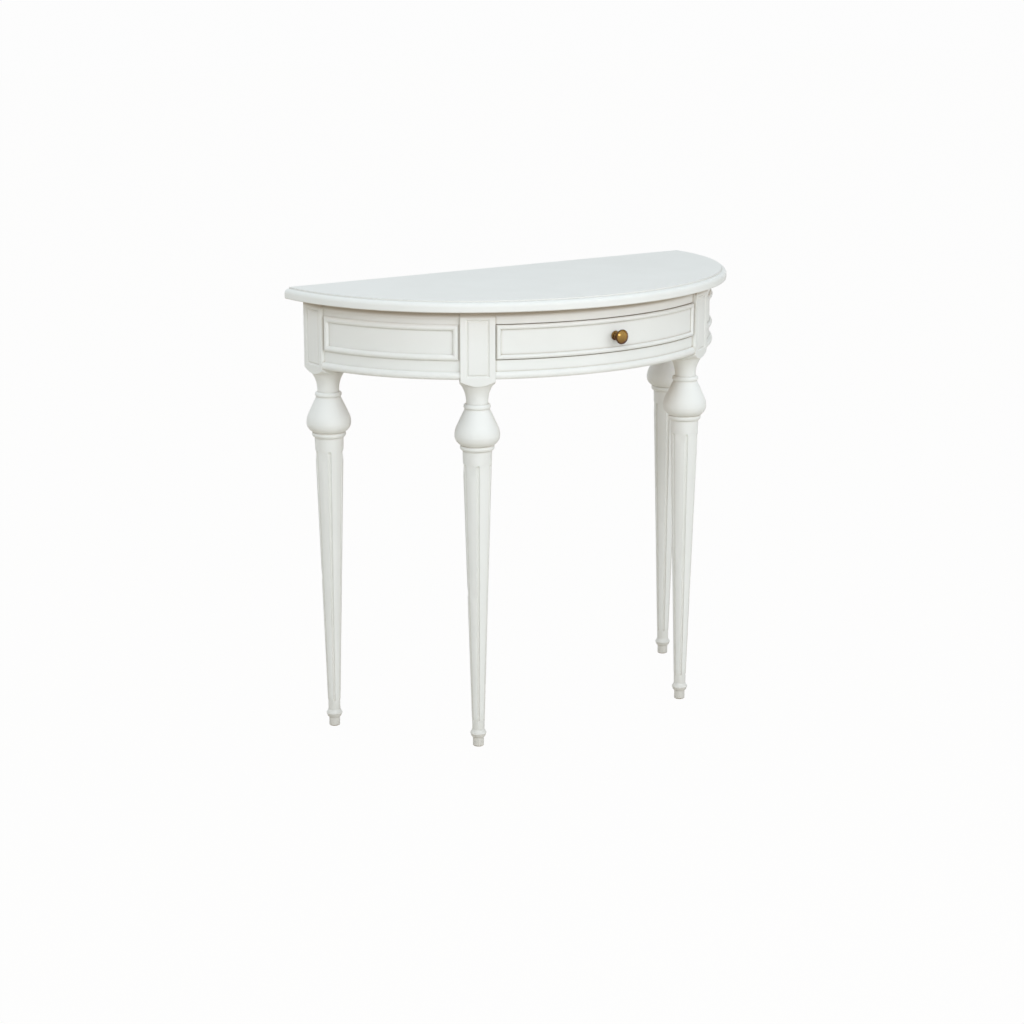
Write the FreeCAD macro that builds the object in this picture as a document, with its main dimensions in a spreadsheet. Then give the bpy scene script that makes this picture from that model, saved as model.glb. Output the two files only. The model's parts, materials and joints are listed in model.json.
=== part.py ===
"""Demilune table with one bow-fronted drawer, as separate pieces, in millimetres.

Frame: +X to the right, -Y to the front, +Z up, origin on the floor under the middle of the top.
The plan is three arcs: one front arc between the front legs and one side arc from each front leg
to the back edge. The arcs meet on the line along which each front leg faces outwards.
"""
import FreeCAD, Part
import math
import os
import Sketcher

from FreeCAD import Placement, Rotation, Vector

DOC = FreeCAD.newDocument("DemiluneTable")

# Driving dimensions in millimetres, angles in degrees
SIZES = {
    # whole table
    "table_width": "860",
    "table_depth": "388",
    "table_height": "780",
    "front_turn": "31",
    # top and its moulded edge
    "top_thickness": "19",
    "top_overhang": "29",
    "back_overhang": "10",
    "edge_step_inset": "9",
    "edge_step_drop": "2.5",
    "edge_ledge": "1.2",
    "edge_round_drop": "7.5",
    "edge_under_bevel": "1.5",
    # curved apron, rails and back rail
    "apron_height": "115",
    "apron_thickness": "20",
    "rail_depth": "45",
    "upper_rail_height": "23.5",
    "lower_rail_height": "31.5",
    "back_rail_inset": "5",
    # square leg blocks and the grooves round their panels
    "block_width": "58",
    "block_proud": "6",
    "block_drop": "11.5",
    "block_shoulder_rise": "8.5",
    "block_panel_margin": "9.2",
    "block_panel_top": "14.5",
    "block_panel_bottom": "15",
    "block_groove_depth": "1.8",
    "block_groove_bevel": "2.3",
    "block_groove_floor": "0.5",
    "block_field_drop": "0.4",
    # turned leg, from the block down
    "cove_ledge": "0.8",
    "cove_height": "29",
    "neck_radius": "18.6",
    "neck_height": "4",
    "collar_height": "8.5",
    "collar_bead_radius": "4.6",
    "bulb_top_radius": "20.8",
    "bulb_radius": "38.3",
    "bulb_round_radius": "35",
    "bulb_upper_height": "45",
    "bulb_lower_height": "16.5",
    "bulb_base_radius": "27.8",
    "ring_height": "9.5",
    "ring_bead_radius": "6",
    "taper_top_radius": "24.9",
    "taper_foot_radius": "10.6",
    # foot, from the floor up
    "foot_radius": "9.5",
    "foot_height": "17.5",
    "foot_edge": "2",
    "foot_bead_radius": "14.1",
    "foot_bead_lower": "6",
    "foot_bead_upper": "6.5",
    # flutes in the taper
    "flute_top_radius": "3.6",
    "flute_foot_radius": "2.2",
    "flute_top_gap": "26",
    "flute_foot_gap": "18",
    # joints in the wood
    "tenon_length": "18",
    "tenon_thickness": "10",
    "tenon_shoulder": "5",
    # applied mouldings
    "panel_bead_width": "10.5",
    "panel_bead_proud": "5",
    "bead_quirk": "1",
    "panel_end_gap": "2",
    "panel_frame_bottom": "31.3",
    "panel_frame_height": "60.4",
    "drawer_bead_width": "8",
    "drawer_bead_proud": "4",
    "base_bead_height": "12.5",
    "base_bead_top_proud": "1.2",
    "base_bead_foot_proud": "3",
    "base_bead_radius": "7.2",
    # drawer
    "drawer_gap": "1.2",
    "drawer_front_thickness": "20",
    "drawer_leg_room": "11",
    "drawer_side_thickness": "12",
    "drawer_side_drop": "11.5",
    "drawer_back_drop": "1",
    "drawer_back_room": "20",
    "drawer_bottom_thickness": "5",
    "drawer_bottom_rise": "7",
    "drawer_groove_depth": "5",
    "slide_gap": "0.3",
    # drawer carriers inside the frame
    "runner_width": "32",
    "runner_height": "20",
    "guide_width": "16",
    "guide_height": "18",
    "guide_gap": "0.5",
    "kicker_width": "20",
    "kicker_gap": "1.2",
    "stop_width": "40",
    "stop_depth": "12",
    "stop_height": "5",
    # blocks glued under the top
    "glue_block_room": "25",
    "glue_block_height": "24",
    "glue_block_depth": "22",
    # brass knob and its screw
    "knob_drop": "1.5",
    "knob_base_radius": "7.2",
    "knob_base_thickness": "2.5",
    "knob_neck_radius": "4.2",
    "knob_neck_length": "8.5",
    "knob_head_radius": "12.2",
    "knob_head_back": "7.5",
    "knob_head_front": "10",
    "knob_bore_depth": "14",
    "knob_screw_grip": "12",
    "knob_screw_radius": "2",
    "knob_screw_seat": "0.05",
    "knob_screw_head_radius": "4",
    "knob_screw_head_height": "2.6",
    # screws that hold the top
    "screw_radius": "2.25",
    "screw_head_radius": "4.5",
    "screw_head_height": "3",
    "screw_grip": "11",
    # how far cutting shapes run past what they cut
    "overrun": "5",
}

# Places along a piece, as shares of its length
FLUTE_COUNT = 6
FLUTE_RISE_SHARE = 0.35
FULL_TURN = 360
STOP_PLACE_SHARE = 0.55
GLUE_BLOCK_SHARE = 0.31
SCREW_PLACE_SHARES = (0.2, 0.8)


class Size:
    """A size together with the sheet formula that it comes from."""

    def __init__(self, formula, value):
        self.formula = formula
        self.value = value

    def __add__(self, other):
        other = as_size(other)
        return Size(f"({self.formula} + {other.formula})", self.value + other.value)

    def __sub__(self, other):
        other = as_size(other)
        return Size(f"({self.formula} - {other.formula})", self.value - other.value)

    def __mul__(self, other):
        other = as_size(other)
        return Size(f"({self.formula} * {other.formula})", self.value * other.value)

    def __truediv__(self, other):
        other = as_size(other)
        return Size(f"({self.formula} / {other.formula})", self.value / other.value)

    def __neg__(self):
        return Size(f"(0 - {self.formula})", -self.value)


class Sizes:
    """Every named size, driving or worked out, by its alias."""


def as_size(number):
    return number if isinstance(number, Size) else Size(repr(number), number)


def root(size):
    return Size(f"sqrt({size.formula})", math.sqrt(size.value))


def sine(angle):
    return Size(f"sin({angle.formula} * 1 deg)", math.sin(math.radians(angle.value)))


def cosine(angle):
    return Size(f"cos({angle.formula} * 1 deg)", math.cos(math.radians(angle.value)))


def angle_of(rise, run):
    """Angle in degrees of a slope."""
    formula = f"(atan2({rise.formula}; {run.formula}) / 1 deg)"
    return Size(formula, math.degrees(math.atan2(rise.value, run.value)))


def leg_of_triangle(long_side, short_side):
    """Second short side of a right-angled triangle."""
    return root(long_side * long_side - short_side * short_side)


def tangent_radius(along, across):
    """Radius of an arc that starts along one direction and ends so far along and across."""
    return (along * along + across * across) / (across * 2)


SHEET = DOC.addObject("Spreadsheet::Sheet", "Sizes")
PLAN = DOC.addObject("Spreadsheet::Sheet", "Plan")
dim = Sizes()
for row, (alias, text) in enumerate(SIZES.items(), start=1):
    SHEET.set(f"A{row}", alias)
    SHEET.set(f"B{row}", text)
    SHEET.setAlias(f"B{row}", alias)
    setattr(dim, alias, Size(f"Sizes.{alias}", float(text)))
DOC.recompute()


def derive(alias, size):
    """Keep a worked-out size in the second sheet under a name of its own."""
    row = len(PLAN.getUsedCells()) // 2 + 1
    PLAN.set(f"A{row}", alias)
    PLAN.set(f"B{row}", "=" + size.formula.replace("Plan.", ""))
    PLAN.setAlias(f"B{row}", alias)
    setattr(dim, alias, Size(f"Plan.{alias}", size.value))


# Plan of the top: three arcs that share tangents
derive("half_width", dim.table_width / 2)
derive("back_edge", dim.table_depth / 2)
derive("turn_sine", sine(dim.front_turn))
derive("turn_cosine", cosine(dim.front_turn))
derive("bow_ratio", dim.turn_cosine / (-dim.turn_sine + 1))
derive("front_radius", (dim.bow_ratio * dim.half_width - dim.table_depth) / (dim.bow_ratio - 1))
derive("side_radius", (dim.half_width - dim.front_radius * dim.turn_sine) / (-dim.turn_sine + 1))
derive("side_centre", dim.half_width - dim.side_radius)
derive("front_centre", dim.back_edge - dim.table_depth + dim.front_radius)

# Heights above the floor
derive("top_underside", dim.table_height - dim.top_thickness)
derive("apron_bottom", dim.top_underside - dim.apron_height)
derive("block_bottom", dim.apron_bottom - dim.block_drop)
derive("cove_bottom", dim.block_bottom - dim.cove_height)
derive("neck_bottom", dim.cove_bottom - dim.neck_height)
derive("collar_bottom", dim.neck_bottom - dim.collar_height)
derive("bulb_middle", dim.collar_bottom - dim.bulb_upper_height)
derive("bulb_bottom", dim.bulb_middle - dim.bulb_lower_height)
derive("taper_top", dim.bulb_bottom - dim.ring_height)
derive("foot_bead_middle", dim.foot_height + dim.foot_bead_lower)
derive("taper_bottom", dim.foot_bead_middle + dim.foot_bead_upper)
derive("opening_bottom", dim.apron_bottom + dim.lower_rail_height)
derive("opening_top", dim.top_underside - dim.upper_rail_height)

# Faces of the apron and places of the legs
derive("half_block", dim.block_width / 2)
derive("cove_radius", dim.half_block - dim.cove_ledge)
derive("front_face", dim.front_radius - dim.top_overhang)
derive("side_face", dim.side_radius - dim.top_overhang)
derive("leg_set_back", dim.half_block - dim.block_proud)
derive("front_leg_x", (dim.front_face - dim.leg_set_back) * dim.turn_sine)
derive("front_leg_y", dim.front_centre - (dim.front_face - dim.leg_set_back) * dim.turn_cosine)
derive("back_leg_y", dim.back_edge - dim.back_overhang - dim.half_block)
derive("back_block_front", dim.back_overhang + dim.block_width)
derive("back_leg_x", dim.side_centre + leg_of_triangle(dim.side_face, dim.back_block_front)
       - dim.leg_set_back)

# Back rail and drawer places, front to back
derive("back_rail_back", dim.back_leg_y + dim.half_block - dim.back_rail_inset)
derive("back_rail_front", dim.back_rail_back - dim.apron_thickness)
derive("drawer_end", dim.back_rail_front - dim.drawer_back_room)
derive("block_reach", dim.half_block * (dim.turn_cosine + dim.turn_sine))
derive("half_drawer", dim.front_leg_x - dim.block_reach - dim.drawer_leg_room)
derive("drawer_inner_radius", dim.front_face - dim.drawer_front_thickness)
derive("drawer_base", dim.opening_bottom + dim.slide_gap)
derive("drawer_front_bottom", dim.opening_bottom + dim.drawer_gap)
derive("drawer_front_height", dim.opening_top - dim.drawer_gap - dim.drawer_front_bottom)
derive("drawer_side_top", dim.drawer_front_bottom + dim.drawer_front_height - dim.drawer_side_drop)
derive("drawer_bottom_base", dim.drawer_base + dim.drawer_bottom_rise)
derive("drawer_bottom_top", dim.drawer_bottom_base + dim.drawer_bottom_thickness)
derive("drawer_front_y", dim.front_centre - dim.front_face)
derive("knob_height", dim.drawer_front_bottom + dim.drawer_front_height / 2 - dim.knob_drop)

# Point of the bulb where its straight flank meets the round below
derive("bulb_centre", dim.bulb_radius - dim.bulb_round_radius)
derive("flank_run", dim.bulb_top_radius - dim.bulb_centre)
derive("flank_reach", dim.flank_run * dim.flank_run + dim.bulb_upper_height * dim.bulb_upper_height)
derive("flank_length", root(dim.flank_reach - dim.bulb_round_radius * dim.bulb_round_radius))
derive("flank_turn", angle_of(dim.bulb_upper_height, dim.flank_run)
       - angle_of(dim.flank_length, dim.bulb_round_radius))
derive("flank_radius", dim.bulb_centre + dim.bulb_round_radius * cosine(dim.flank_turn))
derive("flank_bottom", dim.bulb_middle + dim.bulb_round_radius * sine(dim.flank_turn))
DOC.recompute()


def bind(thing, **sizes):
    """Tie properties of an object to the sheet."""
    for prop, size in sizes.items():
        thing.setExpression(prop, as_size(size).formula)


def move(thing, x, y, z, turn=0):
    """Turn an object about the vertical and put it at a place that follows the sheet."""
    corner = [as_size(value) for value in (x, y, z)]
    base = Vector(*[size.value for size in corner])
    thing.Placement = Placement(base, Rotation(Vector(0, 0, 1), as_size(turn).value))
    for axis, size in zip("xyz", corner):
        thing.setExpression(f"Placement.Base.{axis}", size.formula)


def new_body(label):
    body = DOC.addObject("PartDesign::Body", label)
    body.Label = label
    return body


def new_sketch(body, name, plane, along=0, offset=None):
    """Sketch on one of the body's own planes, moved along its normal or placed in it."""
    sketch = body.newObject("Sketcher::SketchObject", name)
    support = [each for each in body.Origin.OriginFeatures if each.Role == plane][0]
    sketch.AttachmentSupport = [(support, "")]
    sketch.MapMode = "FlatFace"
    if offset is not None:
        sketch.AttachmentOffset = offset
    elif isinstance(along, Size):
        sketch.AttachmentOffset = Placement(Vector(0, 0, along.value), Rotation())
        sketch.setExpression("AttachmentOffset.Base.z", along.formula)
    return sketch


def pin_point(sketch, edge, end, point):
    """Hold one end of an edge at a point given in sheet sizes."""
    kinds = (("DistanceX", -2), ("DistanceY", -1))
    for (kind, axis), size in zip(kinds, point):
        size = as_size(size)
        if size.value == 0:
            sketch.addConstraint(Sketcher.Constraint("PointOnObject", edge, end, axis))
            continue
        ends = (-1, 1, edge, end) if size.value > 0 else (edge, end, -1, 1)
        length = size if size.value > 0 else -size
        index = sketch.addConstraint(Sketcher.Constraint(kind, *ends, length.value))
        sketch.setExpression(f"Constraints[{index}]", length.formula)


def arc_between(first, last, radius, turn):
    """Arc from one point to the next, turning left (1) or right (-1)."""
    chord = last - first
    middle = first + chord * 0.5
    rise = math.sqrt(radius ** 2 - (chord.Length / 2) ** 2)
    across = Vector(-chord.y, chord.x, 0).normalize()
    centre = middle + across * (rise * turn)
    ends = (first, last) if turn > 0 else (last, first)
    angles = [math.atan2(end.y - centre.y, end.x - centre.x) for end in ends]
    return Part.ArcOfCircle(Part.Circle(centre, Vector(0, 0, 1), radius), *angles)


def draw(sketch, points, arcs=None, closed=True):
    """Draw an outline through points; arcs gives (radius, turn) for the edge after a point.

    An edge is kept with the numbers of its two ends in the order in which the outline meets them.
    """
    arcs = arcs or {}
    flat = [Vector(as_size(x).value, as_size(y).value, 0) for x, y in points]
    count = len(points) if closed else len(points) - 1
    edges = {}
    for index in range(count):
        first, last = flat[index], flat[(index + 1) % len(points)]
        if index not in arcs:
            edges[index] = (sketch.addGeometry(Part.LineSegment(first, last)), 1, 2)
            continue
        radius, turn = arcs[index]
        arc = sketch.addGeometry(arc_between(first, last, radius.value, turn))
        pin = sketch.addConstraint(Sketcher.Constraint("Radius", arc, radius.value))
        sketch.setExpression(f"Constraints[{pin}]", radius.formula)
        edges[index] = (arc, 1, 2) if turn > 0 else (arc, 2, 1)
    for index, (edge, tail, head) in edges.items():
        pin_point(sketch, edge, tail, points[index])
        after = edges.get((index + 1) % count if closed else index + 1)
        if after:
            sketch.addConstraint(Sketcher.Constraint("Coincident", edge, head, after[0], after[1]))
        else:
            pin_point(sketch, edge, head, points[index + 1])
    return sketch


def pad(body, sketch, length):
    feature = body.newObject("PartDesign::Pad", sketch.Name + "_feature")
    feature.Profile = sketch
    bind(feature, Length=length)
    return feature


def turned(body, sketch, kind="PartDesign::Revolution", sweep=None):
    """Revolve a sketch about its own upright axis, all round or evenly to both sides."""
    feature = body.newObject(kind, sketch.Name + "_feature")
    feature.Profile = sketch
    feature.ReferenceAxis = (sketch, ["V_Axis"])
    if sweep is not None:
        feature.Midplane = True
        bind(feature, Angle=sweep)
    return feature


def box(label, corner, lengths):
    """Upright box from its lowest corner."""
    thing = DOC.addObject("Part::Box", label)
    thing.Label = label
    bind(thing, Length=lengths[0], Width=lengths[1], Height=lengths[2])
    move(thing, *corner)
    return thing


def box_on(label, place, corner, lengths):
    """Box from its lowest corner in the frame of a piece that is already placed."""
    thing = DOC.addObject("Part::Box", label)
    thing.Label = label
    bind(thing, Length=lengths[0], Width=lengths[1], Height=lengths[2])
    base = Vector(*[as_size(value).value for value in corner])
    thing.Placement = place.multiply(Placement(base, Rotation()))
    return thing


def cut(label, base, *tools):
    """Cut each tool out of a piece in turn."""
    for tool in tools:
        thing = DOC.addObject("Part::Cut", label)
        thing.Base = base
        thing.Tool = tool
        base.Label = base.Label + "_blank" if base.Label == label else base.Label
        thing.Label = label
        base = thing
    return base


def fuse(label, *pieces):
    thing = DOC.addObject("Part::MultiFuse", label)
    thing.Shapes = list(pieces)
    thing.Refine = True
    pieces[0].Label = label + "_blank"
    thing.Label = label
    return thing


class Bay:
    """One curved side of the table: its centre, the way it faces and half its sweep."""

    def __init__(self, x, y, turn, half_sweep):
        self.x = x
        self.y = y
        self.turn = turn
        self.half_sweep = half_sweep

    def put(self, thing):
        move(thing, self.x, self.y, 0, self.turn)

    def place(self):
        base = Vector(as_size(self.x).value, as_size(self.y).value, 0)
        return Placement(base, Rotation(Vector(0, 0, 1), as_size(self.turn).value))


def curved_board(label, bay, outer, thickness, bottom, height):
    """Board bent to a bay: an annular sector, padded upwards."""
    inner = outer - thickness
    run, rise = cosine(bay.half_sweep), sine(bay.half_sweep)
    body = new_body(label)
    points = [(inner * run, -(inner * rise)), (outer * run, -(outer * rise)),
              (outer * run, outer * rise), (inner * run, inner * rise)]
    sketch = new_sketch(body, label + "_plan", "XY_Plane", bottom)
    draw(sketch, points, {1: (outer, 1), 3: (inner, -1)})
    pad(body, sketch, height)
    bay.put(body)
    return body


class Leg:
    """Place of one leg: its axis and the way its block faces."""

    def __init__(self, name, x, y, turn):
        self.name = name
        self.x = x
        self.y = y
        self.turn = turn

    def place(self):
        base = Vector(self.x.value, self.y.value, 0)
        return Placement(base, Rotation(Vector(0, 0, 1), as_size(self.turn).value))

    def block(self, label, grow=0):
        """Box of the leg's block, grown by a clearance and run out past its face, to cut neighbours."""
        half = dim.half_block + grow
        corner = (-half, -half - dim.overrun, dim.block_bottom - dim.overrun)
        height = dim.table_height - dim.block_bottom + dim.overrun
        return box_on(label, self.place(), corner, (half * 2, half * 2 + dim.overrun, height))


def make_top():
    """Top: a thick plate in plan, with the moulding cut along its curved edge."""
    body = new_body("table_top")
    side, front = dim.side_radius + dim.overrun, dim.front_radius + dim.overrun
    corner_x, corner_y = front * dim.turn_sine, dim.front_centre - front * dim.turn_cosine
    half = dim.half_width + dim.overrun
    points = [(-half, dim.back_edge), (-corner_x, corner_y), (corner_x, corner_y), (half, dim.back_edge)]
    plan = new_sketch(body, "top_plan", "XY_Plane", dim.top_underside)
    draw(plan, points, {0: (side, 1), 1: (front, 1), 2: (side, 1)})
    pad(body, plan, dim.top_thickness)

    # Path of the edge, run out past the back
    path_x = dim.front_radius * dim.turn_sine
    path_y = dim.front_centre - dim.front_radius * dim.turn_cosine
    start_y = dim.back_edge + dim.overrun
    points = [(-dim.half_width, start_y), (-dim.half_width, dim.back_edge), (-path_x, path_y),
              (path_x, path_y), (dim.half_width, dim.back_edge), (dim.half_width, start_y)]
    arcs = {1: (dim.side_radius, 1), 2: (dim.front_radius, 1), 3: (dim.side_radius, 1)}
    path = new_sketch(body, "top_edge_path", "XY_Plane", dim.top_underside)
    draw(path, points, arcs, closed=False)

    # Section that is cut away: step, rounded edge and the small bevel below
    step_x = dim.edge_step_inset - dim.half_width
    step_z = dim.table_height - dim.edge_step_drop
    round_z = step_z - dim.edge_round_drop
    round_x = dim.edge_step_inset - dim.edge_ledge
    bevel_z = dim.top_underside + dim.edge_under_bevel
    out_x = -(dim.half_width + dim.overrun * 2)
    points = [(step_x, dim.table_height + dim.overrun), (step_x, step_z),
              (step_x - dim.edge_ledge, step_z), (-dim.half_width, round_z),
              (-dim.half_width, bevel_z), (dim.edge_under_bevel - dim.half_width, dim.top_underside),
              (dim.edge_under_bevel - dim.half_width, dim.top_underside - dim.overrun),
              (out_x, dim.top_underside - dim.overrun), (out_x, dim.table_height + dim.overrun)]
    section = new_sketch(body, "top_edge_section", "XZ_Plane", -start_y)
    draw(section, points, {2: (tangent_radius(dim.edge_round_drop, round_x), 1)})
    pipe = body.newObject("PartDesign::SubtractivePipe", "top_edge")
    pipe.Profile = section
    pipe.Spine = (path, [f"Edge{number}" for number in range(1, 6)])
    return body


def add_turning(body):
    """Turned part of a leg, from inside the block down to the floor."""
    bead_x = (dim.foot_radius + dim.foot_bead_radius) / 2
    points = [
        (0, dim.apron_bottom),
        (dim.cove_radius, dim.apron_bottom),
        (dim.cove_radius, dim.block_bottom),
        (dim.neck_radius, dim.cove_bottom),
        (dim.neck_radius, dim.neck_bottom),
        (dim.bulb_top_radius, dim.collar_bottom),
        (dim.flank_radius, dim.flank_bottom),
        (dim.bulb_radius, dim.bulb_middle),
        (dim.bulb_base_radius, dim.bulb_bottom),
        (dim.taper_top_radius, dim.taper_top),
        (dim.taper_foot_radius, dim.taper_bottom),
        (dim.foot_bead_radius, dim.foot_bead_middle),
        (bead_x, dim.foot_height),
        (dim.foot_radius, dim.foot_height),
        (dim.foot_radius, dim.foot_edge),
        (dim.foot_radius - dim.foot_edge, 0),
        (0, 0),
    ]
    arcs = {
        2: (tangent_radius(dim.cove_height, dim.cove_radius - dim.neck_radius), 1),
        4: (dim.collar_bead_radius, -1),
        6: (dim.bulb_round_radius, -1),
        7: (tangent_radius(dim.bulb_lower_height, dim.bulb_radius - dim.bulb_base_radius), -1),
        8: (dim.ring_bead_radius, -1),
        14: (dim.foot_edge, -1),
    }
    sketch = new_sketch(body, "turning", "XZ_Plane")
    draw(sketch, points, arcs)
    turned(body, sketch)


def rectangle(sketch, half_width, bottom, top):
    """Rectangle even to both sides of the upright axis."""
    draw(sketch, [(-half_width, bottom), (half_width, bottom), (half_width, top), (-half_width, top)])


def add_block(body):
    """Square block with its lower corners turned off and a grooved panel on its outer face."""
    half = dim.half_block
    square = new_sketch(body, "block_square", "XY_Plane", dim.block_bottom)
    rectangle(square, half, -half, half)
    pad(body, square, dim.top_underside - dim.block_bottom)

    # Cone that leaves the middle of each face whole and lifts the corners by the rise
    shoulder = new_sketch(body, "block_shoulder", "XZ_Plane")
    corner_room = half * root(as_size(2)) - half
    out_x, out_z = half + corner_room * 2, dim.block_bottom + dim.block_shoulder_rise * 2
    points = [(half, dim.block_bottom), (half, dim.block_bottom - dim.overrun),
              (out_x, dim.block_bottom - dim.overrun), (out_x, out_z)]
    draw(shoulder, points)
    turned(body, shoulder, kind="PartDesign::Groove")

    # Bevelled sinking, then the bevelled field that stands in it
    rim_half = half - dim.block_panel_margin
    rim_bottom = dim.block_bottom + dim.block_panel_bottom
    rim_top = dim.top_underside - dim.block_panel_top
    floor = half - dim.block_groove_depth
    inset = dim.block_groove_bevel
    sinking = [("panel_rim", half, as_size(0)), ("panel_floor", floor, inset)]
    field = [("field_foot", floor, inset + dim.block_groove_floor),
             ("field_face", half - dim.block_field_drop, inset * 2 + dim.block_groove_floor)]
    for kind, name, outlines in (("Subtractive", "sunk_panel", sinking), ("Additive", "panel_field", field)):
        sections = []
        for label, out, inward in outlines:
            section = new_sketch(body, label, "XZ_Plane", out)
            rectangle(section, rim_half - inward, rim_bottom + inward, rim_top - inward)
            sections.append(section)
        loft = body.newObject(f"PartDesign::{kind}Loft", name)
        loft.Profile = sections[0]
        loft.Sections = sections[1:]


def add_flutes(body):
    """Round-ended flutes down the taper, one of them facing outwards."""
    low = dim.taper_bottom + dim.flute_foot_gap
    high = dim.taper_top - dim.flute_top_gap
    slope = (dim.taper_top_radius - dim.taper_foot_radius) / (dim.taper_top - dim.taper_bottom)
    low_out = dim.taper_foot_radius + slope * dim.flute_foot_gap + dim.flute_foot_radius * FLUTE_RISE_SHARE
    high_out = dim.taper_top_radius - slope * dim.flute_top_gap + dim.flute_top_radius * FLUTE_RISE_SHARE
    tilt = angle_of(high_out - low_out, high - low)
    length = root((high_out - low_out) * (high_out - low_out) + (high - low) * (high - low))
    offset = Placement(Vector(-low_out.value, low.value, 0), Rotation(Vector(0, 0, 1), tilt.value))
    sketch = new_sketch(body, "flute", "YZ_Plane", offset=offset)
    points = [(0, -dim.flute_foot_radius), (dim.flute_foot_radius, 0), (dim.flute_top_radius, length),
              (0, length + dim.flute_top_radius)]
    draw(sketch, points, {0: (dim.flute_foot_radius, 1), 2: (dim.flute_top_radius, 1)})
    groove = turned(body, sketch, kind="PartDesign::Groove")
    pattern = body.newObject("PartDesign::PolarPattern", "flutes")
    pattern.Originals = [groove]
    axis = [each for each in body.Origin.OriginFeatures if each.Role == "Z_Axis"][0]
    pattern.Axis = (axis, [""])
    pattern.Angle = FULL_TURN
    pattern.Occurrences = FLUTE_COUNT
    body.Tip = pattern


def side_tenon(side, bottom, top):
    """Corner and lengths, in a leg's frame, of the tenon that enters its left or right face."""
    middle = dim.apron_thickness / 2 - dim.leg_set_back
    start = dim.half_block - dim.tenon_length if side > 0 else -dim.half_block
    corner = (start, middle - dim.tenon_thickness / 2, bottom + dim.tenon_shoulder)
    height = top - bottom - dim.tenon_shoulder * 2
    return corner, (dim.tenon_length, dim.tenon_thickness, height)


def back_tenon(side):
    """Corner and lengths, in a back leg's frame, of the back rail's tenon."""
    middle = (dim.back_rail_front + dim.back_rail_back) / 2 - dim.back_leg_y
    start = (middle if side > 0 else -middle) - dim.tenon_thickness / 2
    corner = (start, dim.half_block - dim.tenon_length, dim.apron_bottom + dim.tenon_shoulder)
    height = dim.top_underside - dim.apron_bottom - dim.tenon_shoulder * 2
    return corner, (dim.tenon_thickness, dim.tenon_length, height)


def make_leg(leg, tenons):
    """One leg with the mortises for its tenons."""
    body = new_body(leg.name)
    add_turning(body)
    add_block(body)
    add_flutes(body)
    for number, (corner, lengths) in enumerate(tenons):
        mortise = body.newObject("PartDesign::SubtractiveBox", f"mortise_{number}")
        bind(mortise, Length=lengths[0], Width=lengths[1], Height=lengths[2])
        mortise.Placement = Placement(Vector(*[as_size(value).value for value in corner]), Rotation())
    move(body, leg.x, leg.y, 0, leg.turn)
    return body


def framed_board(label, bay, thickness, bottom, top, joints):
    """Curved board between two legs: cut at their blocks, with a tenon into each."""
    outer = dim.front_face if bay is FRONT_BAY else dim.side_face
    board = curved_board(label, bay, outer, thickness, bottom, top - bottom)
    shoulders = cut(label, board, *[BLOCKS[leg.name] for leg, _ in joints])
    tenons = []
    for leg, side in joints:
        corner, lengths = side_tenon(side, bottom, top)
        tenons.append(box_on(f"{label}_tenon_in_{leg.name}", leg.place(), corner, lengths))
    return fuse(label, shoulders, *tenons)


def make_back_rail():
    """Straight rail between the back legs."""
    half = dim.back_leg_x - dim.half_block
    corner = (-half, dim.back_rail_front, dim.apron_bottom)
    rail = box("back_rail", corner, (half * 2, dim.apron_thickness, dim.apron_height))
    tenons = []
    for leg, side in ((BACK_LEFT, -1), (BACK_RIGHT, 1)):
        corner, lengths = back_tenon(side)
        tenons.append(box_on(f"back_rail_tenon_in_{leg.name}", leg.place(), corner, lengths))
    return fuse("back_rail", rail, *tenons)


def bead_outline(sketch, foot, start, width, proud):
    """Section of a bead: short sides under a round crown that stands out from the foot."""
    crown = proud - dim.bead_quirk
    radius = (width * width / 4 + crown * crown) / (crown * 2)
    side = foot + dim.bead_quirk
    end = as_size(start) + width
    draw(sketch, [(foot, start), (side, start), (side, end), (foot, end)], {1: (radius, 1)})


def mitre_box(label, bay, side, radius, level, facing, across):
    """Large box whose lower face is the mitre plane at one corner of a frame of mouldings."""
    corner = Rotation(Vector(0, 0, 1), bay.half_sweep.value * side)
    turn = corner.multiply(Rotation(Vector(0, 0, 1), facing))
    base = corner.multVec(Vector(radius.value, 0, 0)) + Vector(0, 0, level.value)
    start = turn.multVec(Vector(-across.value / 2, -across.value / 2, 0))
    thing = DOC.addObject("Part::Box", label)
    thing.Label = label
    bind(thing, Length=across, Width=across, Height=across)
    thing.Placement = bay.place().multiply(Placement(base + start, turn))
    return thing


def moulding_frame(prefix, ends, bay, face, bottom, height, width, proud):
    """Four mitred beads round a panel; ends names the strips at the low and high angle."""
    levels = {-1: ("bottom", bottom), 1: ("top", bottom + height)}
    across = height + dim.overrun
    for up, (name, level) in levels.items():
        label = f"{prefix}_{name}"
        body = new_body(label)
        section = new_sketch(body, label + "_section", "XZ_Plane")
        bead_outline(section, face, level if up < 0 else level - width, width, proud)
        turned(body, section, sweep=bay.half_sweep * 2)
        bay.put(body)
        tools = [mitre_box(f"{label}_mitre_{ends[side]}", bay, side, face, level,
                           Vector(0, side, -up), across) for side in ends]
        cut(label, body, *tools)
    for side, name in ends.items():
        label = f"{prefix}_{name}"
        body = new_body(label)
        section = new_sketch(body, label + "_section", "XY_Plane", bottom)
        bead_outline(section, face, -width if side > 0 else 0, width, proud)
        pad(body, section, height)
        move(body, bay.x, bay.y, 0, bay.turn + bay.half_sweep * side)
        tools = [mitre_box(f"{label}_mitre_{levels[up][0]}", bay, side, face, levels[up][1],
                           Vector(0, -side, up), across) for up in levels]
        cut(label, body, *tools)


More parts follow.
